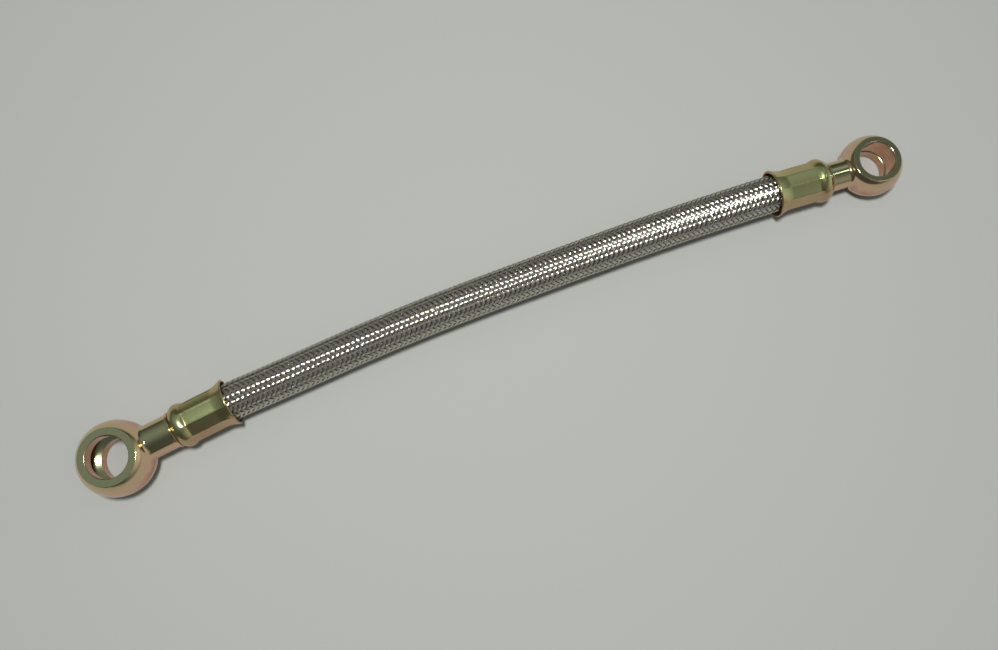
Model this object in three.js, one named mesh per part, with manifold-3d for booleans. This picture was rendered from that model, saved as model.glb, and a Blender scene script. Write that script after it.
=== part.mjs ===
// A short fuel line: wire braided rubber hose with a ball banjo fitting crimped on each end.
// It lies on a flat surface, with the line from eye to eye along +X. Millimetres, +Z up.
import * as THREE from 'three';
import { mergeVertices } from 'three/addons/utils/BufferGeometryUtils.js';
import Module from 'manifold-3d';

const wasm = await Module();
wasm.setup();

// Driving dimensions

const EYE_SPACING = 277; // between the axes of the two bores
const PIECE_GAP = 0.3; // between pieces that touch

// Large eye, for a 14 mm bolt
const LARGE_BORE_R = 7.1;
const LARGE_FACE_R = 9.6; // rim of the flat seat
const LARGE_HALF_WIDTH = 8.6; // bore axis centre to seat
const LARGE_LAND = 3.6; // seat to the groove that lets fuel flow round the bolt
const LARGE_GROOVE_DEPTH = 1.9; // its flanks slope at 45 degrees
const LARGE_NECK_R = 6;
const LARGE_NECK_END = 21.4; // bore axis to the shoulder that the ferrule sits on
const LARGE_HEADING_DEG = 5.5; // the fitting points this far above the line from eye to eye
const LARGE_CRIMP_TURN_DEG = 16; // one crimp ridge lies this far from the top

// Small eye, for a 12 mm bolt
const SMALL_BORE_R = 6.2;
const SMALL_FACE_R = 8.2;
const SMALL_HALF_WIDTH = 6.8;
const SMALL_LAND = 2.8;
const SMALL_GROOVE_DEPTH = 1.5;
const SMALL_NECK_R = 5.1;
const SMALL_NECK_END = 16.8;
const SMALL_HEADING_DEG = 4.7;
const SMALL_CRIMP_TURN_DEG = -9;

// Shared by both fittings
const BORE_CHAMFER = 0.4;
const NECK_FILLET_R = 1.5; // between ball and neck
const COLLAR_RISE = 0.4;
const COLLAR_WIDTH = 1;
const GROOVE_R = 4.2; // the ferrule's back wall closes into this groove
const FLANGE_R = 5;
const FLANGE_WIDTH = 1.2;
const PASSAGE_R = 1.9; // fuel way from the bore to the end of the tail
const TAIL_ROOT_R = 2.7;
const BARB_R = 3.2;
const BARB_PITCH = 3;
const BARB_COUNT = 4;
const TAIL_LEAD = 1.5; // plain end that guides the hose on

// Ferrule, the same piece on both ends
const FERRULE_LENGTH = 19.8;
const FERRULE_WALL = 0.9;
const BACK_R = 5.7; // rim of the flat back wall
const SHOULDER_R = 7.7;
const SHOULDER_LENGTH = 2.6; // rounded stretch behind the crimp
const CRIMP_FLATS = 10;
const CRIMP_HALF_ACROSS = 6.9;
const CRIMP_START = 4.8;
const CRIMP_LENGTH = 10.4;
const MOUTH_R = 8.4;
const LIP_ROUND = 0.2;

// Hose
const HOSE_R = 6.5;
const BRAID_THICKNESS = 0.7;
const HOSE_RELAX_START = 1; // past the crimp, where the squeezed hose begins to widen

// Centre line of the free hose, between the ferrule mouths, from the large eye's bore at floor level
const HOSE_ROUTE = [
  [54, 4.6, 8.5],
  [66, 5.1, 8.5],
  [78, 5.7, 8.5],
  [90, 6.25, 8.5],
  [102, 6.6, 8.5],
  [114, 6.8, 8.5],
  [126, 6.8, 8.5],
  [138, 6.7, 8.5],
  [150, 6.5, 8.5],
  [162, 6.3, 8.5],
  [174, 6.05, 8.5],
  [186, 5.75, 8.5],
  [198, 5.35, 8.5],
  [210, 4.85, 8.5],
  [222, 4.2, 8.5],
];

// Facets
const EYE_SIDES = 48;
const EYE_ARC_STEPS = 12;
const SHANK_SIDES = 32;
const FILLET_STEPS = 4;
const SIDES_PER_FLAT = 4;
const SHOULDER_STEPS = 4;
const BELL_STEPS = 4;
const HOSE_SIDES = 12;
const CUT_PAST = 1; // how far a cutter runs past what it cuts

// Worked out from the driving dimensions

const FERRULE_HOLE_R = GROOVE_R + PIECE_GAP;
const GROOVE_WIDTH = FERRULE_WALL + 2 * PIECE_GAP;
const CRIMP_END = CRIMP_START + CRIMP_LENGTH;
const CRIMPED_HOSE_R = CRIMP_HALF_ACROSS - FERRULE_WALL - PIECE_GAP;
const LINER_BORE_R = BARB_R + PIECE_GAP;

const LARGE = {
  name: 'large',
  boreR: LARGE_BORE_R,
  faceR: LARGE_FACE_R,
  halfWidth: LARGE_HALF_WIDTH,
  land: LARGE_LAND,
  grooveDepth: LARGE_GROOVE_DEPTH,
  neckR: LARGE_NECK_R,
  neckEnd: LARGE_NECK_END,
  crimpTurn: THREE.MathUtils.degToRad(LARGE_CRIMP_TURN_DEG),
  heading: THREE.MathUtils.degToRad(LARGE_HEADING_DEG),
  x: 0,
};
const SMALL = {
  name: 'small',
  boreR: SMALL_BORE_R,
  faceR: SMALL_FACE_R,
  halfWidth: SMALL_HALF_WIDTH,
  land: SMALL_LAND,
  grooveDepth: SMALL_GROOVE_DEPTH,
  neckR: SMALL_NECK_R,
  neckEnd: SMALL_NECK_END,
  crimpTurn: THREE.MathUtils.degToRad(SMALL_CRIMP_TURN_DEG),
  heading: Math.PI - THREE.MathUtils.degToRad(SMALL_HEADING_DEG),
  x: EYE_SPACING,
};

// Distances along a fitting, from its bore axis towards the hose
const ferruleBack = (end) => end.neckEnd + PIECE_GAP;
const flangeStart = (end) => end.neckEnd + GROOVE_WIDTH;
const hoseStart = (end) => flangeStart(end) + FLANGE_WIDTH + PIECE_GAP;
const mouthReach = (end) => ferruleBack(end) + FERRULE_LENGTH;

// Materials

const yellowZinc = new THREE.MeshStandardMaterial({ color: 0xa8923f, roughness: 0.25, metalness: 1 });
const paleYellowZinc = new THREE.MeshStandardMaterial({ color: 0xb39a45, roughness: 0.22, metalness: 1 });
const stainlessWire = new THREE.MeshStandardMaterial({ color: 0xa5a39b, roughness: 0.35, metalness: 1 });
const blackRubber = new THREE.MeshStandardMaterial({ color: 0x1b1b1a, roughness: 0.8, metalness: 0 });

// Solids

function toManifold(geometry) {
  const bare = geometry.clone();
  bare.deleteAttribute('normal');
  bare.deleteAttribute('uv');
  const merged = mergeVertices(bare, 1e-4);
  const corners = merged.index.array;
  const triangles = [];
  for (let i = 0; i < corners.length; i += 3) {
    const [a, b, c] = [corners[i], corners[i + 1], corners[i + 2]];
    if (a !== b && b !== c && c !== a) triangles.push(a, b, c);
  }
  return new wasm.Manifold(new wasm.Mesh({
    numProp: 3,
    vertProperties: new Float32Array(merged.attributes.position.array),
    triVerts: new Uint32Array(triangles),
  }));
}

function toGeometry(manifold) {
  const mesh = manifold.getMesh();
  const geometry = new THREE.BufferGeometry();
  geometry.setAttribute('position', new THREE.BufferAttribute(new Float32Array(mesh.vertProperties), 3));
  geometry.setIndex(new THREE.BufferAttribute(new Uint32Array(mesh.triVerts), 1));
  geometry.computeVertexNormals();
  return geometry;
}

// Turns [axial, radius] points about an axis of the part, from the low end to the high end.
function revolve(profile, sides, axis) {
  const points = profile.map(([axial, radius]) => new THREE.Vector2(radius, axial));
  const geometry = new THREE.LatheGeometry(points, sides);
  if (axis === 'x') geometry.rotateZ(-Math.PI / 2);
  if (axis === 'z') geometry.rotateX(Math.PI / 2);
  return geometry;
}

// Joins a closed loop of rings, each with the same number of points, into one hollow body.
function loftLoop(rings) {
  const sides = rings[0].length;
  const positions = rings.flat().flatMap((point) => point.toArray());
  const triangles = [];
  rings.forEach((ring, i) => {
    const here = i * sides;
    const next = ((i + 1) % rings.length) * sides;
    for (let k = 0; k < sides; k += 1) {
      const after = (k + 1) % sides;
      triangles.push(here + k, here + after, next + after);
      triangles.push(here + k, next + after, next + k);
    }
  });
  const geometry = new THREE.BufferGeometry();
  geometry.setAttribute('position', new THREE.Float32BufferAttribute(positions, 3));
  geometry.setIndex(triangles);
  geometry.computeVertexNormals();
  return geometry;
}

// Points on an arc, with both ends.
function arc(centreAxial, centreRadius, radius, from, to, steps) {
  return Array.from({ length: steps + 1 }, (_, i) => {
    const angle = from + ((to - from) * i) / steps;
    return [centreAxial + radius * Math.cos(angle), centreRadius + radius * Math.sin(angle)];
  });
}

// Banjo fitting: a ball with two flat seats and a bore, a neck, a collar and a barbed tail.
// Its bore is along Z through the origin, and its tail points along +X.

function eyeBall(end) {
  const ballR = Math.hypot(end.halfWidth, end.faceR);
  const cutAngle = Math.acos(end.halfWidth / ballR);
  const outline = arc(0, 0, ballR, Math.PI - cutAngle, cutAngle, EYE_ARC_STEPS);
  return revolve([[-end.halfWidth, 0], ...outline, [end.halfWidth, 0]], EYE_SIDES, 'z');
}

function boreCutter(end) {
  const past = end.halfWidth + CUT_PAST;
  const wideR = end.boreR + BORE_CHAMFER + CUT_PAST;
  const straight = end.halfWidth - BORE_CHAMFER;
  const edge = end.halfWidth - end.land;
  const floor = edge - end.grooveDepth;
  const deepR = end.boreR + end.grooveDepth;
  return revolve(
    [
      [-past, 0],
      [-past, wideR],
      [-straight, end.boreR],
      [-edge, end.boreR],
      [-floor, deepR],
      [floor, deepR],
      [edge, end.boreR],
      [straight, end.boreR],
      [past, wideR],
      [past, 0],
    ],
    EYE_SIDES,
    'z',
  );
}

function barbs(start) {
  return Array.from({ length: BARB_COUNT }, (_, i) => start + i * BARB_PITCH).flatMap((at) => [
    [at, TAIL_ROOT_R],
    [at, BARB_R],
    [at + BARB_PITCH, TAIL_ROOT_R],
  ]);
}

function shank(end) {
  const ballR = Math.hypot(end.halfWidth, end.faceR);
  const rise = end.neckR + NECK_FILLET_R;
  const reach = ballR + NECK_FILLET_R;
  const filletAt = Math.sqrt(reach * reach - rise * rise);
  const fillet = arc(filletAt, rise, NECK_FILLET_R, Math.atan2(-rise, -filletAt), -Math.PI / 2, FILLET_STEPS);
  const [, filletR] = fillet[0];
  const collarStart = end.neckEnd - COLLAR_WIDTH;
  const collarR = end.neckR + COLLAR_RISE;
  const grooveEnd = flangeStart(end);
  const flangeEnd = grooveEnd + FLANGE_WIDTH;
  const firstBarb = flangeEnd + TAIL_LEAD;
  const tailEnd = firstBarb + BARB_COUNT * BARB_PITCH + TAIL_LEAD;
  return revolve(
    [
      [end.boreR, 0],
      [end.boreR, filletR],
      ...fillet,
      [collarStart, end.neckR],
      [collarStart, collarR],
      [end.neckEnd, collarR],
      [end.neckEnd, GROOVE_R],
      [grooveEnd, GROOVE_R],
      [grooveEnd, FLANGE_R],
      [flangeEnd, FLANGE_R],
      [flangeEnd, TAIL_ROOT_R],
      ...barbs(firstBarb),
      [tailEnd, TAIL_ROOT_R],
      [tailEnd, 0],
    ],
    SHANK_SIDES,
    'x',
  );
}

function passageDrill(end) {
  const tailEnd = flangeStart(end) + FLANGE_WIDTH + 2 * TAIL_LEAD + BARB_COUNT * BARB_PITCH;
  return revolve([[0, 0], [0, PASSAGE_R], [tailEnd + CUT_PAST, PASSAGE_R], [tailEnd + CUT_PAST, 0]], SHANK_SIDES, 'x');
}

function banjoFitting(end) {
  return toGeometry(
    toManifold(eyeBall(end))
      .add(toManifold(shank(end)))
      .subtract(toManifold(boreCutter(end)))
      .subtract(toManifold(passageDrill(end))),
  );
}

// Ferrule: a sleeve with a back wall and a round shoulder, crimped to flats, with a bell mouth.
// flat blends a ring from a circle to the crimp's polygon.

function ferruleRing(at, radius, flat, turn) {
  const sides = CRIMP_FLATS * SIDES_PER_FLAT;
  return Array.from({ length: sides }, (_, k) => {
    const inFlat = ((k % SIDES_PER_FLAT) / SIDES_PER_FLAT - 0.5) * ((2 * Math.PI) / CRIMP_FLATS);
    const polygonR = radius / Math.cos(inFlat);
    const r = radius + (polygonR - radius) * flat;
    const angle = (2 * Math.PI * k) / sides + turn;
    return new THREE.Vector3(at, -r * Math.sin(angle), r * Math.cos(angle));
  });
}

// One skin of the sleeve from back to mouth, as [axial, radius, flat], set in by a distance.
function ferruleSkin(inset) {
  const shoulder = Array.from({ length: SHOULDER_STEPS }, (_, i) => {
    const angle = ((i + 1) / SHOULDER_STEPS) * (Math.PI / 2);
    const at = SHOULDER_LENGTH - (SHOULDER_LENGTH - inset) * Math.cos(angle);
    return [at, BACK_R - inset + (SHOULDER_R - BACK_R) * Math.sin(angle), 0];
  });
  const bell = Array.from({ length: BELL_STEPS }, (_, i) => {
    const t = i / BELL_STEPS;
    const at = CRIMP_END + (FERRULE_LENGTH - CRIMP_END) * t;
    const flare = Math.sin((Math.PI / 2) * t);
    return [at, CRIMP_HALF_ACROSS - inset + (MOUTH_R - CRIMP_HALF_ACROSS) * flare, (1 - t) ** 3];
  });
  return [
    [inset, BACK_R - inset, 0],
    ...shoulder,
    [(SHOULDER_LENGTH + CRIMP_START) / 2, (SHOULDER_R + CRIMP_HALF_ACROSS) / 2 - inset, 0.3],
    [CRIMP_START, CRIMP_HALF_ACROSS - inset, 1],
    ...bell,
  ];
}

function ferrule(end) {
  const lip = [
    [FERRULE_LENGTH - LIP_ROUND, MOUTH_R, 0],
    [FERRULE_LENGTH, MOUTH_R - LIP_ROUND, 0],
    [FERRULE_LENGTH, MOUTH_R - FERRULE_WALL, 0],
  ];
  const profile = [
    [0, FERRULE_HOLE_R, 0],
    ...ferruleSkin(0),
    ...lip,
    ...ferruleSkin(FERRULE_WALL).reverse(),
    [FERRULE_WALL, FERRULE_HOLE_R, 0],
  ];
  const geometry = loftLoop(profile.map(([at, radius, flat]) => ferruleRing(at, radius, flat, end.crimpTurn)));
  geometry.translate(ferruleBack(end), 0, 0);
  return geometry;
}

// An end whose ferrule is wider than its eye rests on the bell's rim and on the eye's outer rim.
function restTilt(end) {
  return Math.max(0, Math.atan2(MOUTH_R - end.halfWidth, mouthReach(end) + end.faceR));
}

function named(name, geometry, material) {
  const mesh = new THREE.Mesh(geometry, material);
  mesh.name = name;
  return mesh;
}

function fittedEnd(end, material) {
  const tilt = restTilt(end);
  const group = new THREE.Group();
  group.position.set(end.x, 0, end.halfWidth * Math.cos(tilt) + end.faceR * Math.sin(tilt));
  group.rotation.set(0, -tilt, end.heading, 'ZYX');
  group.add(named(`${end.name}_banjo_fitting`, banjoFitting(end), material));
  group.add(named(`${end.name}_end_ferrule`, ferrule(end), material));
  group.updateMatrixWorld(true);
  return group;
}

// Hose: a rubber liner inside a wire braid, squeezed where the ferrules grip them.

function endStations(end, group) {
  const along = new THREE.Vector3(1, 0, 0).transformDirection(group.matrixWorld);
  const stations = [
    [hoseStart(end), 1],
    [ferruleBack(end) + CRIMP_END + HOSE_RELAX_START, 1],
    [mouthReach(end), 0],
  ];
  return stations.map(([reach, squeezed]) => ({
    centre: group.localToWorld(new THREE.Vector3(reach, 0, 0)),
    along,
    squeezed,
  }));
}

function hoseStations(largeGroup, smallGroup) {
  const first = endStations(LARGE, largeGroup);
  const last = endStations(SMALL, smallGroup).reverse();
  last.forEach((station) => {
    station.along = station.along.clone().negate();
  });
  const route = HOSE_ROUTE.map(([x, y, z]) => new THREE.Vector3(x, y, z));
  const centres = [first.at(-1).centre, ...route, last[0].centre];
  const free = route.map((centre, i) => ({
    centre,
    along: centres[i + 2].clone().sub(centres[i]).normalize(),
    squeezed: 0,
  }));
  return [...first, ...free, ...last];
}

function hoseRing(station, freeR, squeezedR) {
  const radius = freeR + (squeezedR - freeR) * station.squeezed;
  const side = new THREE.Vector3(0, 0, 1).cross(station.along).normalize();
  const up = station.along.clone().cross(side);
  return Array.from({ length: HOSE_SIDES }, (_, k) => {
    const angle = (2 * Math.PI * k) / HOSE_SIDES;
    return station.centre.clone()
      .addScaledVector(side, -radius * Math.sin(angle))
      .addScaledVector(up, radius * Math.cos(angle));
  });
}

function hoseLayer(stations, outer, inner) {
  const outerRings = stations.map((station) => hoseRing(station, outer.free, outer.squeezed));
  const innerRings = stations.map((station) => hoseRing(station, inner.free, inner.squeezed));
  return loftLoop([...outerRings, ...innerRings.reverse()]);
}

// The line, standing on its origin by the box of its rigid pieces

const largeEnd = fittedEnd(LARGE, yellowZinc);
const smallEnd = fittedEnd(SMALL, paleYellowZinc);
const stations = hoseStations(largeEnd, smallEnd);

const braidOuter = { free: HOSE_R, squeezed: CRIMPED_HOSE_R };
const braidInner = { free: HOSE_R - BRAID_THICKNESS, squeezed: CRIMPED_HOSE_R - BRAID_THICKNESS };
const linerOuter = { free: braidInner.free - PIECE_GAP, squeezed: braidInner.squeezed - PIECE_GAP };
const linerCornerR = LINER_BORE_R / Math.cos(Math.PI / HOSE_SIDES);
const linerInner = { free: linerCornerR, squeezed: linerCornerR };

const fuelLine = new THREE.Group();
fuelLine.add(largeEnd, smallEnd);
const rigidBox = new THREE.Box3().setFromObject(fuelLine, true);
const rigidCentre = rigidBox.getCenter(new THREE.Vector3());
fuelLine.add(named('hose_wire_braid', hoseLayer(stations, braidOuter, braidInner), stainlessWire));
fuelLine.add(named('hose_rubber_liner', hoseLayer(stations, linerOuter, linerInner), blackRubber));
fuelLine.position.set(-rigidCentre.x, -rigidCentre.y, -rigidBox.min.z);

export default fuelLine;
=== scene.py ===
import math

import bmesh
import bpy
import numpy as np
from mathutils import Euler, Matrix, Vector


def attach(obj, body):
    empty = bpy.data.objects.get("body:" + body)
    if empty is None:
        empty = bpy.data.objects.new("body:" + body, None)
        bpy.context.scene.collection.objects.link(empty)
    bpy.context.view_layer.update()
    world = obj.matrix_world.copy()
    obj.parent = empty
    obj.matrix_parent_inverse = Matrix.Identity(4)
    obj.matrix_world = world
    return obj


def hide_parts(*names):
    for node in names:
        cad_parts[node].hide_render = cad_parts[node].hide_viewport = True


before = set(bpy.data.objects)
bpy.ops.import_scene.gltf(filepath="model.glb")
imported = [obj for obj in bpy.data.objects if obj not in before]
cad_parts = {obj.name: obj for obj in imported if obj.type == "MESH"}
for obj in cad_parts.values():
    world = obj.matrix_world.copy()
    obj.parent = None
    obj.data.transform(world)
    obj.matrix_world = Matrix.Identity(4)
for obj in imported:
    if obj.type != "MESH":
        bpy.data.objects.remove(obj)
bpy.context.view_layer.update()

MM = 0.001


# Camera
# It stands almost straight above the line, a third of a metre up, where the photograph was taken from.
# Its place and lens were fitted to the rims of both eyes.

SENSOR_WIDTH = 36.0
LENS_MM = 33.01
CAMERA_PLACE = (-0.020855, -0.057526, 0.315187)
CAMERA_TURN_DEG = (10.266, 0.456, -21.575)

camera_data = bpy.data.cameras.new("camera")
camera_data.sensor_fit = "HORIZONTAL"
camera_data.sensor_width = SENSOR_WIDTH
camera_data.lens = LENS_MM
camera_data.clip_start = 0.01
camera = bpy.data.objects.new("camera", camera_data)
camera.location = CAMERA_PLACE
camera.rotation_euler = Euler([math.radians(turn) for turn in CAMERA_TURN_DEG], "XYZ")
bpy.context.scene.collection.objects.link(camera)
bpy.context.scene.camera = camera


# Banjo fitting of the large eye
# Turned from free cutting steel in one piece: a ball with two flat seats and a bore, a neck, and a
# barbed tail inside the hose. A groove in the bore takes fuel round the bolt, and a passage drilled
# through the tail leads it away. The whole piece is barrel plated with zinc and yellow chromate.

LARGE_EYE = dict(bore_r=7.1, face_r=9.6, half_width=8.6, neck_r=6.0, neck_end=21.4, land=4.5, groove=2.4)
LARGE_EYE_AT = np.array([-137.376, 0.0, 8.607])
LARGE_HEADING = math.radians(5.5)
BORE_CHAMFER = 0.28
GROOVE_FLANK_SLOPE = 0.36
SEAT_EDGE_R = 0.2
EDGE_SHARE = 0.92
PAST_EDGE = 1.5
CLEAR_OF_BALL = 6.0
NECK_FILLET_R = 1.5
COLLAR_RISE = 0.4
COLLAR_WIDTH = 1.0
COLLAR_EDGE_R = 0.3
HOOK_GROOVE_R = 4.2
HOOK_GROOVE_WIDTH = 1.5
FLANGE_R = 5.0
FLANGE_WIDTH = 1.2
TAIL_R = 2.7
TAIL_LENGTH = 16.2
BARBS = 4
BARB_R = 3.2
BARB_PITCH = 3.0
FIRST_BARB = 2.7
PASSAGE_R = 1.9
EYE_SIDES = 160
NECK_SIDES = 128
DRILL_SIDES = 48
SHARP_DEG = 32


def direction(heading, tilt):
    """The unit vector that points along a fitting from its eye to the hose."""
    return np.array([
        math.cos(heading) * math.cos(tilt),
        math.sin(heading) * math.cos(tilt),
        math.sin(tilt),
    ])


def grid_quads(rows, columns, wrap_rows=False):
    """Corner numbers of the quads between rings of points, and from the last to the first if asked."""
    row, column = np.indices((rows if wrap_rows else rows - 1, columns)).reshape(2, -1)
    next_row = (row + 1) % rows
    next_column = (column + 1) % columns
    corners = [(row, column), (row, next_column), (next_row, next_column), (next_row, column)]
    return np.stack([r * columns + c for r, c in corners], 1)


def add_piece(name, points_mm, faces, material):
    """A smooth mesh object at the origin, from points in millimetres and lists of corner numbers."""
    mesh = bpy.data.meshes.new(name)
    mesh.from_pydata((np.asarray(points_mm).reshape(-1, 3) * MM).tolist(), [], faces)
    mesh.polygons.foreach_set("use_smooth", np.full(len(mesh.polygons), True))
    mesh.materials.append(material)
    mesh.update()
    piece = bpy.data.objects.new(name, mesh)
    bpy.context.scene.collection.objects.link(piece)
    return piece


def turned(profile, sides, axis):
    """Points and faces of a closed body of revolution.

    Each profile point, a distance along the axis and a radius, is carried once round the axis.
    """
    profile = np.asarray(profile, float)
    along, angle = np.meshgrid(profile[:, 0], 2 * np.pi * np.arange(sides) / sides, indexing="ij")
    radius = np.broadcast_to(profile[:, 1:2], along.shape)
    across = radius * np.cos(angle)
    up = radius * np.sin(angle)
    points = np.stack([along, across, up] if axis == "x" else [across, up, along], -1)
    return points, grid_quads(len(profile), sides)[:, ::-1].tolist()


def arc(centre, radius, start, end, steps):
    """Points of a circular arc, with both ends, as distances along the axis and radii."""
    angle = np.linspace(start, end, steps + 1)
    return np.stack([centre[0] + radius * np.cos(angle), centre[1] + radius * np.sin(angle)], 1)


def blank_profile(eye):
    """Half section about the tail's axis of the ball, neck, collar, hook groove, flange and barbs."""
    ball_r = math.hypot(eye["half_width"], eye["face_r"])
    rise = eye["neck_r"] + NECK_FILLET_R
    fillet_at = math.sqrt((ball_r + NECK_FILLET_R) ** 2 - rise**2)
    touch = math.atan2(rise, fillet_at)
    end = eye["neck_end"]
    collar_at = end - COLLAR_WIDTH
    collar_edge = eye["neck_r"] + COLLAR_RISE - COLLAR_EDGE_R
    flange = end + HOOK_GROOVE_WIDTH
    flange_end = flange + FLANGE_WIDTH
    barb_at = flange + FIRST_BARB + BARB_PITCH * np.arange(BARBS)
    barb_ends = barb_at + BARB_PITCH
    foot = np.full(BARBS, TAIL_R)
    barbs = np.stack([barb_at, foot, barb_at, np.full(BARBS, BARB_R), barb_ends, foot], 1)
    return np.vstack([
        arc((0, 0), ball_r, math.pi, touch, 72),
        arc((fillet_at, rise), NECK_FILLET_R, touch - math.pi, -math.pi / 2, 8)[1:],
        [[collar_at, eye["neck_r"]]],
        arc((collar_at + COLLAR_EDGE_R, collar_edge), COLLAR_EDGE_R, math.pi * 0.9, math.pi / 2, 4),
        arc((end - COLLAR_EDGE_R, collar_edge), COLLAR_EDGE_R, math.pi / 2, 0, 4),
        [[end, HOOK_GROOVE_R], [flange, HOOK_GROOVE_R]],
        [[flange, FLANGE_R], [flange_end, FLANGE_R], [flange_end, TAIL_R]],
        barbs.reshape(-1, 2),
        [[flange + TAIL_LENGTH, TAIL_R], [flange + TAIL_LENGTH, 0.0]],
    ])


def cutter_profile(eye):
    """Half section about the bore of all that the two seats and the bore take away from the ball.

    From the middle of the cutter outwards it runs past the ball, back in to the rounded edge of the
    seat, over the seat to the bore's chamfer, and down the bore to the flank of its groove. The other
    half mirrors it.
    """
    half = eye["half_width"]
    bore = eye["bore_r"]
    face = eye["face_r"]
    slope = math.atan2(face, half)
    edge_turn = slope * EDGE_SHARE
    rim = (half - SEAT_EDGE_R, face - SEAT_EDGE_R * math.tan(slope / 2))
    rounded = arc(rim, SEAT_EDGE_R, edge_turn, 0, 5)
    out = rounded[0] + PAST_EDGE * np.array([-math.sin(edge_turn), math.cos(edge_turn)])
    edge = arc((half - BORE_CHAMFER, bore + BORE_CHAMFER), BORE_CHAMFER, 0, -math.pi / 2, 6)
    land_end = half - eye["land"]
    depth = eye["groove"]
    flank = np.array([[land_end, bore], [land_end - GROOVE_FLANK_SLOPE * depth, bore + depth]])
    past_seat = half + CLEAR_OF_BALL
    past_ball = face + CLEAR_OF_BALL
    block = [[past_seat, 0.0], [past_seat, past_ball], [out[0], past_ball], out]
    half_section = np.vstack([block, rounded, edge, flank])
    return np.vstack([half_section, half_section[::-1] * [-1, 1]])[::-1]


def solid_piece(name, shape, material):
    """A mesh object of a closed shape, with its poles merged and its faces turned outwards."""
    piece = add_piece(name, *shape, material)
    shell = bmesh.new()
    shell.from_mesh(piece.data)
    bmesh.ops.remove_doubles(shell, verts=shell.verts, dist=1e-7)
    bmesh.ops.recalc_face_normals(shell, faces=shell.faces)
    shell.to_mesh(piece.data)
    shell.free()
    return piece


def placed(piece, heading, tilt, eye_at):
    """Turns a fitting's mesh from its own axes to the way it lies, eye at the given point."""
    along = direction(heading, tilt)
    side = np.array([-math.sin(heading), math.cos(heading), 0.0])
    up = np.cross(along, side)
    points = np.empty(len(piece.data.vertices) * 3)
    piece.data.vertices.foreach_get("co", points)
    points = points.reshape(-1, 3) @ np.stack([along, side, up]) + eye_at * MM
    piece.data.vertices.foreach_set("co", points.ravel())
    piece.data.update()
    return piece


def banjo(name, eye, material):
    """The turned blank, less its seats and bore, and less its fuel passage."""
    blank = solid_piece(name, turned(blank_profile(eye), NECK_SIDES, "x"), material)
    drill_end = eye["neck_end"] + HOOK_GROOVE_WIDTH + TAIL_LENGTH + 1.0
    drill = turned([[0, 0], [0, PASSAGE_R], [drill_end, PASSAGE_R], [drill_end, 0]], DRILL_SIDES, "x")
    tools = [
        solid_piece("cutter", turned(cutter_profile(eye), EYE_SIDES, "z"), material),
        solid_piece("drill", drill, material),
    ]
    for tool in tools:
        cut = blank.modifiers.new("cut", "BOOLEAN")
        cut.operation = "DIFFERENCE"
        cut.solver = "EXACT"
        cut.object = tool
    graph = bpy.context.evaluated_depsgraph_get()
    blank.data = bpy.data.meshes.new_from_object(blank.evaluated_get(graph))
    blank.modifiers.clear()
    for tool in tools:
        bpy.data.objects.remove(tool)
    blank.data.set_sharp_from_angle(angle=math.radians(SHARP_DEG))
    weighted = blank.modifiers.new("flat_seats", "WEIGHTED_NORMAL")
    weighted.keep_sharp = True
    return blank


def linear(hex_code):
    """The linear RGBA of an sRGB hex colour."""
    levels = [int(hex_code[i:i + 2], 16) / 255 for i in (0, 2, 4)]
    return [((c + 0.055) / 1.055) ** 2.4 if c > 0.04045 else c / 12.92 for c in levels] + [1.0]


def node(tree, kind, inputs=None, **settings):
    """Adds a node, sets its properties, and sets or links its inputs by name or number."""
    made = tree.nodes.new(kind)
    for key, value in settings.items():
        setattr(made, key, value)
    for key, value in (inputs or {}).items():
        if isinstance(value, bpy.types.NodeSocket):
            tree.links.new(value, made.inputs[key])
        else:
            made.inputs[key].default_value = value
    return made


# Yellow zinc chromate on turned steel: a bright metal under a thin iridescent film. Its colour is painted
# by which way a face points, as a painted iridescent sheen: olive where a face looks up, gold on the
# slopes and rose on steep walls. It drifts a little from place to place where the piece drained after
# dipping. Fine turning marks soften the gloss.
def zinc_plate(name, hues, drift, roughness):
    """Plated steel whose colour, a painted iridescent sheen, runs through the hues from steep walls to
    level faces.
    """
    plate = bpy.data.materials.new(name)
    plate.use_nodes = True
    tree = plate.node_tree
    shader = tree.nodes["Principled BSDF"]
    shader.inputs["Metallic"].default_value = 1.0
    place = node(tree, "ShaderNodeTexCoord").outputs["Object"]
    normal = node(tree, "ShaderNodeNewGeometry").outputs["Normal"]
    facing = node(tree, "ShaderNodeSeparateXYZ", {0: normal})
    # How far a face leans up, either way, sets the painted iridescent sheen in the colour.
    level = node(tree, "ShaderNodeMath", {0: facing.outputs["Z"]}, operation="ABSOLUTE")
    cloud = node(tree, "ShaderNodeTexNoise", {
        "Vector": place, "Scale": 190.0, "Detail": 3.0, "Roughness": 0.55,
    })
    shift = node(tree, "ShaderNodeMapRange", {
        "Value": cloud.outputs["Fac"], "From Min": 0.3, "From Max": 0.7, "To Min": -drift, "To Max": drift,
    })
    sheen_and_film = node(tree, "ShaderNodeMath", {0: level.outputs[0], 1: shift.outputs[0]}, operation="ADD")
    ramp = node(tree, "ShaderNodeValToRGB", {0: sheen_and_film.outputs[0]})
    stops = ramp.color_ramp.elements
    while len(stops) < len(hues):
        stops.new(0.5)
    for stop, (at, colour) in zip(stops, hues):
        stop.position = at
        stop.color = linear(colour)
    tree.links.new(ramp.outputs["Color"], shader.inputs["Base Color"])
    grain = node(tree, "ShaderNodeTexNoise", {"Vector": place, "Scale": 2600.0, "Detail": 2.0})
    gloss = node(tree, "ShaderNodeMapRange", {
        "Value": grain.outputs["Fac"], "To Min": roughness[0], "To Max": roughness[1],
    })
    tree.links.new(gloss.outputs[0], shader.inputs["Roughness"])
    relief = node(tree, "ShaderNodeBump", {
        "Height": grain.outputs["Fac"], "Strength": 0.12, "Distance": 0.02 * MM,
    })
    tree.links.new(relief.outputs["Normal"], shader.inputs["Normal"])
    return plate


# The film's colour with a painted iridescent sheen, from steep walls (rose) to level faces (olive).
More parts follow.
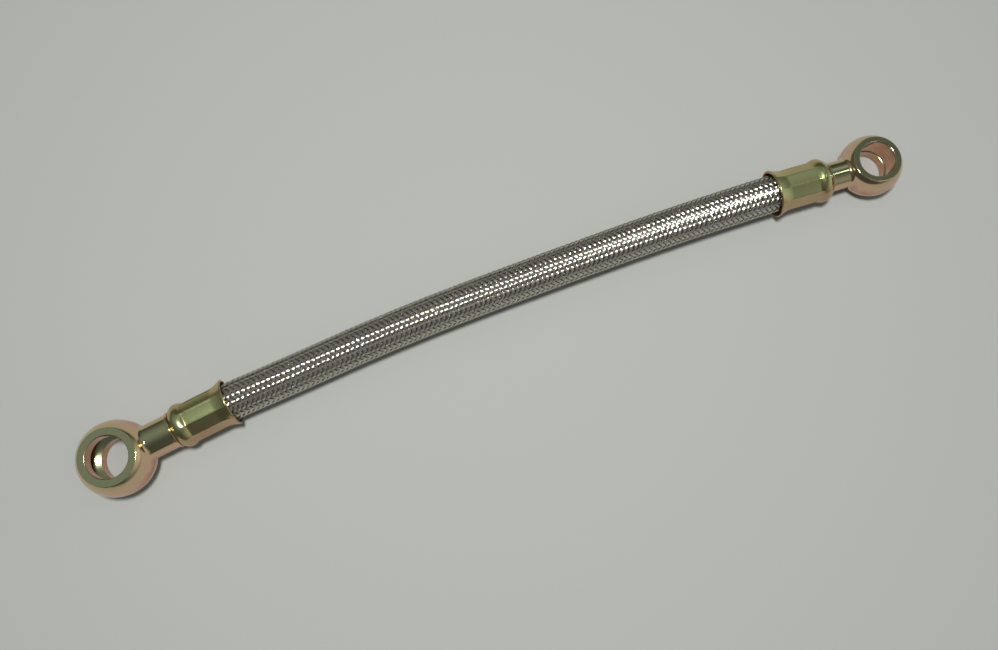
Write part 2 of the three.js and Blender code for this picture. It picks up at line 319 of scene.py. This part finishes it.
FITTING_SHEEN_AND_FILM_HUES = [(0.0, "B98B70"), (0.3, "DBB59C"), (0.65, "D3BF95"), (0.86, "C9C194"), (1.0, "BDC59A")]
fitting_zinc = zinc_plate("yellow_zinc_on_turned_steel", FITTING_SHEEN_AND_FILM_HUES, drift=0.14, roughness=(0.07, 0.17))

large_eye = placed(banjo("banjo_large", LARGE_EYE, fitting_zinc), LARGE_HEADING, 0.0, LARGE_EYE_AT)
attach(large_eye, "root")
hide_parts("large_banjo_fitting")


# Banjo fitting of the small eye
# The same kind of turned and plated piece for a thinner bolt. Its ferrule is wider than its eye, so
# it lies a little nose down, on the ferrule's rim and the eye's own.

SMALL_EYE = dict(bore_r=6.2, face_r=8.2, half_width=6.8, neck_r=5.1, neck_end=16.8, land=4.1, groove=0.3)
SMALL_EYE_AT = np.array([139.624, 0.0, 7.094])
SMALL_HEADING = math.pi - math.radians(4.7)
MOUTH_R = 8.4
SMALL_MOUTH_AT = 36.9
SMALL_TILT = math.atan2(MOUTH_R - SMALL_EYE["half_width"], SMALL_MOUTH_AT + SMALL_EYE["face_r"])

small_eye = placed(banjo("banjo_small", SMALL_EYE, fitting_zinc), SMALL_HEADING, SMALL_TILT, SMALL_EYE_AT)
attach(small_eye, "root")
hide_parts("small_banjo_fitting")


# Ferrules
# Drawn steel cups, plated like the fittings. Each hooks behind the collar of its fitting and is
# pressed onto the hose by ten flat dies, which leave flats, low ridges between them and a bell mouth.

FERRULE_LENGTH = 19.8
FERRULE_WALL = 0.9
BACK_AT = -0.24
BACK_R = 6.2
SHOULDER_R = 7.7
SHOULDER_LENGTH = 2.6
CRIMP_FLATS = 10
CRIMP_HALF_ACROSS = 6.9
CRIMP_START = 4.8
CRIMP_END = 15.0
FLAT_DEPTH = 0.8
LIP_R = 0.32
BACK_HOLE_R = 4.5
BACK_LIFT_SLOPE = 0.75
FLARE_POWER = 1.6
SKIN_BLEND = 0.9
SLEEVE_CLEARS_AT = 6.0
RIDGE_RISE = 0.06
RIDGE_DEG = 1.6
FERRULE_SIDES = 360
FLATS_FROM = 6.4
FLATS_TO = 14.6
INNER_BACK_RINGS = [6.4, 5.0, 4.0, 3.0, 2.2, 1.5, 1.1]
LIP_INSET = 0.15
LIP_FLARE = 0.12
LARGE_CRIMP_TURN_DEG = 16
SMALL_CRIMP_TURN_DEG = -9
PIECE_GAP = 0.3


def soft_min(a, b, blend):
    """The lower of two surfaces, rounded over where they cross within a width of about blend."""
    share = np.clip(0.5 + 0.5 * (b - a) / blend, 0, 1)
    return b + (a - b) * share - blend * share * (1 - share)


def ferrule_radius(at, angle):
    """Outer radius of the sleeve, at a distance from its back and an angle from one crimp ridge.

    The sleeve rises to the shoulder as a parabola. The crimp dies press flats that bulge a little,
    lift toward the shoulder, and flare to a round mouth. The lower of the two is the surface. Metal
    that the dies squeeze out stands as a low ridge between each pair of flats, a bell curve across.
    """
    rise = np.clip((at - BACK_AT) / (SHOULDER_LENGTH - BACK_AT), 0, 1)
    clear = np.clip(at - SLEEVE_CLEARS_AT, 0, None)
    sleeve = BACK_R + (SHOULDER_R - BACK_R) * (1 - (1 - rise) ** 2) + clear
    pitch = 2 * np.pi / CRIMP_FLATS
    in_flat = (angle % pitch) - pitch / 2
    from_ridge = (pitch / 2 - np.abs(in_flat)) / math.radians(RIDGE_DEG)
    corner = FLAT_DEPTH * (1 / np.cos(in_flat) - 1) * CRIMP_HALF_ACROSS
    corner = corner + RIDGE_RISE * np.exp(-(from_ridge**2))
    flare = np.clip((at - CRIMP_END) / (FERRULE_LENGTH - CRIMP_END), 0, 1)
    bell = (MOUTH_R - CRIMP_HALF_ACROSS) * flare**FLARE_POWER
    back_lift = BACK_LIFT_SLOPE * np.clip(CRIMP_START - at, 0, None)
    flats = CRIMP_HALF_ACROSS + back_lift + corner * (1 - flare) + bell
    return soft_min(sleeve, flats, SKIN_BLEND)


def crimped(turn):
    """The whole closed skin: back wall, outside, rounded lip and inside, a wall's thickness in.

    Its rings stand close together over the shoulder and the bell, and far apart along the flats.
    """
    angle = 2 * np.pi * np.arange(FERRULE_SIDES) / FERRULE_SIDES
    outer_at = np.concatenate([
        np.linspace(BACK_AT, SHOULDER_LENGTH, 13),
        np.linspace(SHOULDER_LENGTH, FLATS_FROM, 17)[1:],
        np.linspace(FLATS_FROM, FLATS_TO, 9)[1:],
        np.linspace(FLATS_TO, FERRULE_LENGTH - LIP_R, 24)[1:],
    ])
    inner_at = np.append(np.linspace(FERRULE_LENGTH - LIP_INSET, FLATS_TO, 14), INNER_BACK_RINGS)
    outer = ferrule_radius(outer_at[:, None], angle[None])
    inner = np.maximum(ferrule_radius(inner_at[:, None], angle[None]) - FERRULE_WALL, BACK_HOLE_R)
    mouth = outer[-1]
    lip_angle = np.linspace(0, np.pi / 2, 5)[1:]
    lip_at = FERRULE_LENGTH - LIP_R + LIP_R * np.sin(lip_angle)
    lip = mouth[None] - LIP_R * (1 - np.cos(lip_angle))[:, None]
    hole = np.full((1, FERRULE_SIDES), BACK_HOLE_R)
    rings_at = np.concatenate([[BACK_AT], outer_at, lip_at, [FERRULE_LENGTH], inner_at, [FERRULE_WALL]])
    rings_r = np.vstack([hole, outer, lip, mouth[None] - FERRULE_WALL + LIP_FLARE, inner, hole])
    theta = angle[None] + turn
    along = np.broadcast_to(rings_at[:, None], rings_r.shape)
    points = np.stack([along, -rings_r * np.sin(theta), rings_r * np.cos(theta)], -1)
    return points, grid_quads(len(rings_at), FERRULE_SIDES, wrap_rows=True).tolist()


# The film's colour with a painted iridescent sheen, from steep walls (rose) to level faces (olive).
FERRULE_SHEEN_AND_FILM_HUES = [(0.0, "B58A70"), (0.4, "BEA382"), (0.75, "CBB985"), (0.93, "BEC48C"), (1.0, "BDC68E")]
ferrule_zinc = zinc_plate("yellow_zinc_on_drawn_steel", FERRULE_SHEEN_AND_FILM_HUES, drift=0.15, roughness=(0.18, 0.3))
large_along = direction(LARGE_HEADING, 0.0)
small_along = direction(SMALL_HEADING, SMALL_TILT)
large_back = LARGE_EYE_AT + (LARGE_EYE["neck_end"] + PIECE_GAP) * large_along
small_back = SMALL_EYE_AT + (SMALL_EYE["neck_end"] + PIECE_GAP) * small_along

large_ferrule = solid_piece("ferrule_large", crimped(math.radians(LARGE_CRIMP_TURN_DEG)), ferrule_zinc)
small_ferrule = solid_piece("ferrule_small", crimped(math.radians(SMALL_CRIMP_TURN_DEG)), ferrule_zinc)
placed(large_ferrule, LARGE_HEADING, 0.0, large_back)
placed(small_ferrule, SMALL_HEADING, SMALL_TILT, small_back)
for sleeve, cad_node in ((large_ferrule, "large_end_ferrule"), (small_ferrule, "small_end_ferrule")):
    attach(sleeve, "root")
    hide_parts(cad_node)


# Rubber liner
# Extruded fuel resistant rubber, the part of the hose that holds the fuel. It is pushed over the
# barbs of both fittings and shows only as black between the wires.

HOSE_ROUTE = np.array([
    [54.0, 4.6, 8.5],
    [66.0, 5.1, 8.5],
    [78.0, 5.7, 8.5],
    [90.0, 6.25, 8.5],
    [102.0, 6.6, 8.5],
    [114.0, 6.8, 8.5],
    [126.0, 6.8, 8.5],
    [138.0, 6.7, 8.5],
    [150.0, 6.5, 8.5],
    [162.0, 6.3, 8.5],
    [174.0, 6.05, 8.5],
    [186.0, 5.75, 8.5],
    [198.0, 5.35, 8.5],
    [210.0, 4.85, 8.5],
    [222.0, 4.2, 8.5],
])
GRIPPED = 17.1
HOSE_R = 6.5
CRIMPED_R = 5.7
LINER_R = 5.8
LINER_BORE_R = 3.62
LINER_RINGS = 160
LINER_SIDES = 48
SQUEEZE_RUN = 3.6
ROUTE_STEPS = 241
END_STEPS = 40
JOIN_GAP = 0.2


def spline(knots, start_along, end_along, count):
    """Points of the smooth cubic through the knots, whose ends leave along the given directions."""
    gaps = np.linalg.norm(np.diff(knots, axis=0), axis=1)
    at = np.concatenate([[0.0], np.cumsum(gaps)])
    slopes = np.empty_like(knots)
    slopes[1:-1] = (knots[2:] - knots[:-2]) / (at[2:] - at[:-2])[:, None]
    slopes[0] = start_along
    slopes[-1] = end_along
    where = np.linspace(0, at[-1], count)
    k = np.clip(np.searchsorted(at, where, side="right") - 1, 0, len(gaps) - 1)
    t = ((where - at[k]) / gaps[k])[:, None]
    gap = gaps[k][:, None]
    return (
        (2 * t**3 - 3 * t**2 + 1) * knots[k]
        + (t**3 - 2 * t**2 + t) * gap * slopes[k]
        + (3 * t**2 - 2 * t**3) * knots[k + 1]
        + (t**3 - t**2) * gap * slopes[k + 1]
    )


route = HOSE_ROUTE + [LARGE_EYE_AT[0], 0.0, 0.007]
mouths = [large_back + large_along * FERRULE_LENGTH, small_back + small_along * FERRULE_LENGTH]
line = np.vstack([
    mouths[0] - np.linspace(GRIPPED, JOIN_GAP, END_STEPS)[:, None] * large_along,
    spline(np.vstack([mouths[0], route, mouths[1]]), large_along, -small_along, ROUTE_STEPS),
    mouths[1] - np.linspace(JOIN_GAP, GRIPPED, END_STEPS)[:, None] * small_along,
])
line_at = np.concatenate([[0.0], np.cumsum(np.linalg.norm(np.diff(line, axis=0), axis=1))])
HOSE_LENGTH = line_at[-1]
line_along = np.gradient(line, line_at, axis=0)
line_along /= np.linalg.norm(line_along, axis=1)[:, None]
line_side = np.cross([0.0, 0.0, 1.0], line_along)
line_side /= np.linalg.norm(line_side, axis=1)[:, None]
line_up = np.cross(line_along, line_side)


def narrowing(at):
    """How far the ferrules squeeze the hose in, from the free hose to the crimp, as a smooth step."""
    inside = np.minimum(at, HOSE_LENGTH - at)
    t = np.clip((GRIPPED - inside) / SQUEEZE_RUN, 0, 1)
    return (HOSE_R - CRIMPED_R) * t * t * (3 - 2 * t)


def round_hose(at, angle, radius):
    """Points at a distance along the hose, an angle round it, and a radius from its centre line."""
    centre, side, up = (
        np.stack([np.interp(at, line_at, table[:, k]) for k in range(3)], -1)
        for table in (line, line_side, line_up)
    )
    return centre + radius[..., None] * (np.cos(angle)[..., None] * up + np.sin(angle)[..., None] * side)


def liner_tube():
    """The tube: its outside from one end to the other and its bore back again, as one closed skin."""
    there = np.linspace(0.0, HOSE_LENGTH, LINER_RINGS)
    radius = np.concatenate([LINER_R - narrowing(there), np.full(LINER_RINGS, LINER_BORE_R)])
    turns = 2 * np.pi * np.arange(LINER_SIDES) / LINER_SIDES
    at, angle = np.meshgrid(np.concatenate([there, there[::-1]]), turns, indexing="ij")
    points = round_hose(at, angle, np.broadcast_to(radius[:, None], at.shape))
    return points, grid_quads(2 * LINER_RINGS, LINER_SIDES, wrap_rows=True).tolist()


# Black vulcanised rubber: matt, with the faint bloom of the mould powder it was cured in.
rubber = bpy.data.materials.new("black_vulcanised_rubber")
rubber.use_nodes = True
rubber_tree = rubber.node_tree
rubber_shader = rubber_tree.nodes["Principled BSDF"]
rubber_shader.inputs["Roughness"].default_value = 0.7
rubber_place = node(rubber_tree, "ShaderNodeTexCoord").outputs["Object"]
bloom = node(rubber_tree, "ShaderNodeTexNoise", {"Vector": rubber_place, "Scale": 900.0, "Detail": 2.0})
rubber_tone = node(rubber_tree, "ShaderNodeMix", {0: bloom.outputs["Fac"]}, data_type="RGBA")
rubber_tone.inputs["A"].default_value = linear("131312")
rubber_tone.inputs["B"].default_value = linear("232321")
rubber_tree.links.new(rubber_tone.outputs["Result"], rubber_shader.inputs["Base Color"])

liner = solid_piece("rubber_liner", liner_tube(), rubber)
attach(liner, "root")
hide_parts("hose_rubber_liner")


# Wire braid
# Stainless steel wire, woven over the rubber on a machine with sixteen bobbins running each way.
# Each bobbin lays four wires side by side, which pass over two crossing plaits and then under two.

PLAITS = 16
LEAD = 28.6
WIRES = 4
WIRE_R = 0.13
WIRE_STEP = 0.272
WEAVE_R = 6.2
WEAVE_RISE = 0.24
CROWN_DROP = 0.15
WIRE_SPOTS = [-0.5, -0.27, 0.27]
FLANK_LIFT = 0.86
GROOVE_LIFT = 0.01
STEPS_PER_CROSSING = 2
PLAITS_IN_A_PIECE = 8
BEAT_SHIFT = {1: -0.5, -1: 2.5}
WANDERS = [(0.02, 0.83, 2.4), (0.015, 2.17, 5.1)]


def plaits_of(hand, first, count):
    """Some of the plaits that wind one way, as ribbons of wires side by side.

    A plait's middle winds evenly round the hose. Its height is a cosine, which rises over two
    crossings and dives under the next two. Across it stand the rounded tops of the wires, each as
    two flanks and a groove, with its outer wires a little lower and every wire wandering a little
    up and down by two slow sines of its own. One more point below closes the ribbon.
    """
    steps = int(HOSE_LENGTH / (LEAD / PLAITS / 2 / STEPS_PER_CROSSING)) + 1
    along = np.linspace(0.0, HOSE_LENGTH, steps)
    wire = np.repeat(np.arange(WIRES), len(WIRE_SPOTS))
    spot = np.tile(WIRE_SPOTS, WIRES)
    width = WIRES * WIRE_STEP
    across = np.concatenate([(wire + 0.5 + spot) * WIRE_STEP, [width, width / 2]]) - width / 2
    top_lift = np.where(spot == WIRE_SPOTS[0], GROOVE_LIFT, WIRE_R * FLANK_LIFT)
    lift = np.concatenate([top_lift, [GROOVE_LIFT, -WIRE_R]])
    crown = -CROWN_DROP * (across / across.max()) ** 2
    numbers = np.arange(first, first + count)
    plait, at, point = np.meshgrid(numbers, along, np.arange(len(across)), indexing="ij")
    radius = WEAVE_R - narrowing(at)
    lean = np.arctan2(2 * np.pi * radius, LEAD)
    squeeze = radius / WEAVE_R
    offset = across[point] * squeeze
    at_point = np.clip(at - hand * offset * np.sin(lean), 0, HOSE_LENGTH)
    angle = hand * 2 * np.pi * at / LEAD + 2 * np.pi * plait / PLAITS + offset * np.cos(lean) / radius
    crossing = 2 * PLAITS * at / LEAD
    phase = (crossing + hand * 2 * plait + BEAT_SHIFT[hand]) * np.pi / 2
    height = WEAVE_RISE * np.cos(phase)
    strand = np.append(wire, [WIRES - 1, 0])[point] + 7 * plait + (100 if hand > 0 else 0)
    wander = sum(size * np.sin(at * rate + strand * shift) for size, rate, shift in WANDERS)
    points = round_hose(at_point, angle, radius + height + lift[point] + crown[point] + wander)
    sides = len(across)
    quads = grid_quads(steps, sides)
    starts = np.arange(count) * steps * sides
    faces = (quads[None] + starts[:, None, None]).reshape(-1, 4)
    near_cap = starts[:, None] + np.arange(sides)
    far_cap = near_cap + (steps - 1) * sides
    caps = np.stack([near_cap, far_cap[:, ::-1]])
    if hand > 0:
        faces = faces[:, ::-1]
    else:
        caps = caps[..., ::-1]
    return points, faces.tolist() + caps.reshape(-1, sides).tolist()


# Drawn stainless wire: bright and a little soft from the die, with a faint warm cast, and duller
# where handling has greyed it.
wire_steel = bpy.data.materials.new("drawn_stainless_wire")
wire_steel.use_nodes = True
steel_tree = wire_steel.node_tree
steel = steel_tree.nodes["Principled BSDF"]
steel.inputs["Metallic"].default_value = 1.0
steel_place = node(steel_tree, "ShaderNodeTexCoord").outputs["Object"]
handling = node(steel_tree, "ShaderNodeTexNoise", {"Vector": steel_place, "Scale": 260.0, "Detail": 3.0})
steel_tone = node(steel_tree, "ShaderNodeMix", {0: handling.outputs["Fac"]}, data_type="RGBA")
steel_tone.inputs["A"].default_value = linear("B9B6A8")
steel_tone.inputs["B"].default_value = linear("D2CFC4")
steel_tree.links.new(steel_tone.outputs["Result"], steel.inputs["Base Color"])
steel_gloss = node(steel_tree, "ShaderNodeMapRange", {
    "Value": handling.outputs["Fac"], "To Min": 0.2, "To Max": 0.12,
})
steel_tree.links.new(steel_gloss.outputs[0], steel.inputs["Roughness"])

for hand, side_name in ((1, "right"), (-1, "left")):
    for first, half_name in ((0, "first"), (PLAITS_IN_A_PIECE, "second")):
        shape = plaits_of(hand, first, PLAITS_IN_A_PIECE)
        plaits = add_piece(f"braid_{side_name}_{half_name}", *shape, wire_steel)
        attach(plaits, "root")
        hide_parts("hose_wire_braid")


# Broken wires
# Three wires of one plait have snapped near the large end. They are the braid's own steel, and their
# loose ends spring up from it.

BROKEN_WIRES = 3
BROKEN_AT = 40.3
BROKEN_ANGLE = 0.36
LOOSE_LENGTH = 2.2
LONGER_EACH = 0.35
LOOSE_RISE = 1.0
LOWER_EACH = 0.2
LOOSE_FROM = 0.3
SIDE_STEP = 1.1
ALONG_SHARE = 0.3
AROUND_SHARE = 0.95
LOOSE_STEPS = 12
LOOSE_SIDES = 10


def loose_ends():
    """Round wires side by side that climb from the braid as parabolas.

    Each is longer and ends lower than the one before it.
    """
    which, t, around = np.meshgrid(
        np.arange(BROKEN_WIRES),
        np.linspace(0, 1, LOOSE_STEPS),
        2 * np.pi * np.arange(LOOSE_SIDES) / LOOSE_SIDES,
        indexing="ij",
    )
    reach = (LOOSE_LENGTH + LONGER_EACH * which) * t
    at = BROKEN_AT + SIDE_STEP * WIRE_STEP * which + ALONG_SHARE * reach + WIRE_R * np.cos(around)
    angle = BROKEN_ANGLE + (AROUND_SHARE * reach + 0.5 * WIRE_R * np.cos(around)) / WEAVE_R
    rise = (LOOSE_RISE - LOWER_EACH * which) * t**2
    points = round_hose(at, angle, WEAVE_R + LOOSE_FROM + rise + WIRE_R * np.sin(around))
    starts = LOOSE_STEPS * LOOSE_SIDES * np.arange(BROKEN_WIRES)[:, None]
    walls = (grid_quads(LOOSE_STEPS, LOOSE_SIDES)[None] + starts[..., None]).reshape(-1, 4)
    ring = np.arange(LOOSE_SIDES)
    caps = np.vstack([starts + ring[::-1], starts + (LOOSE_STEPS - 1) * LOOSE_SIDES + ring])
    return points, walls.tolist() + caps.tolist()


broken_wires = solid_piece("broken_wires", loose_ends(), wire_steel)
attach(broken_wires, "root")
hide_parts("hose_wire_braid")


# Hose
# Wires and rubber together are one hose, which the large ferrule grips. The small ferrule and the
# small eye are on its far end.


# Floor
# A plain sheet of pale grey card, which the line lies on.

card = bpy.data.materials.new("matt_grey_card")
card.use_nodes = True
card_shader = card.node_tree.nodes["Principled BSDF"]
card_shader.inputs["Base Color"].default_value = linear("B8BAB5")
card_shader.inputs["Roughness"].default_value = 0.9
card_shader.inputs["Specular IOR Level"].default_value = 0.0
FLOOR_HALF = 3000.0
corners = [[x * FLOOR_HALF, y * FLOOR_HALF, 0.0] for x, y in ((-1, -1), (1, -1), (1, 1), (-1, 1))]
floor = add_piece("floor", corners, [[0, 1, 2, 3]], card)


# Light
# A round lamp over the line, a small faint one well beyond the small eye, and a dim room round them.
# Its ceiling is lit on the large eye's side and in a small patch behind the small eye. The wall beyond
# the small eye and the one in front of it are pale.

# Each lamp has a name, watts, a place and a width.
LAMPS = [
    ("lamp", 3.9, (-0.01, 0.01, 0.70), 0.11),
    ("far_lamp", 0.05, (0.46, 0.0, 0.58), 0.06),
]
ROOM_LEVEL = 0.07

# Each pale part has a direction, a tightness and a brightness.
PALE_PARTS = [
    ((-0.40, 0.35, 0.85), 4.0, 0.22),
    ((0.97, -0.20, 0.10), 6.0, 0.60),
    ((0.50, -0.75, 0.40), 8.0, 0.28),
    ((0.49, 0.50, 0.71), 40.0, 0.36),
]

for name, watts, place, across in LAMPS:
    lamp_data = bpy.data.lights.new(name, "AREA")
    lamp_data.shape = "DISK"
    lamp_data.size = across
    lamp_data.energy = watts
    lamp = bpy.data.objects.new(name, lamp_data)
    lamp.location = place
    lamp.rotation_euler = Vector(place).to_track_quat("Z", "Y").to_euler()
    bpy.context.scene.collection.objects.link(lamp)

room = bpy.data.worlds.new("room")
bpy.context.scene.world = room
room.use_nodes = True
room_tree = room.node_tree
toward = node(room_tree, "ShaderNodeTexCoord").outputs["Generated"]
level = node(room_tree, "ShaderNodeValue").outputs[0]
level.default_value = ROOM_LEVEL
for middle, tightness, brightness in PALE_PARTS:
    lean = node(room_tree, "ShaderNodeVectorMath", {0: toward, 1: middle}, operation="DOT_PRODUCT")
    front = node(room_tree, "ShaderNodeMath", {0: lean.outputs["Value"], 1: 0.0}, operation="MAXIMUM")
    soft = node(room_tree, "ShaderNodeMath", {0: front.outputs[0], 1: tightness}, operation="POWER")
    level = node(room_tree, "ShaderNodeMath", {
        0: soft.outputs[0], 1: brightness, 2: level,
    }, operation="MULTIPLY_ADD").outputs[0]
wall = room_tree.nodes["Background"]
wall.inputs["Color"].default_value = linear("FFFFFF")
room_tree.links.new(level, wall.inputs["Strength"])

bpy.context.scene.view_settings.view_transform = "Standard"
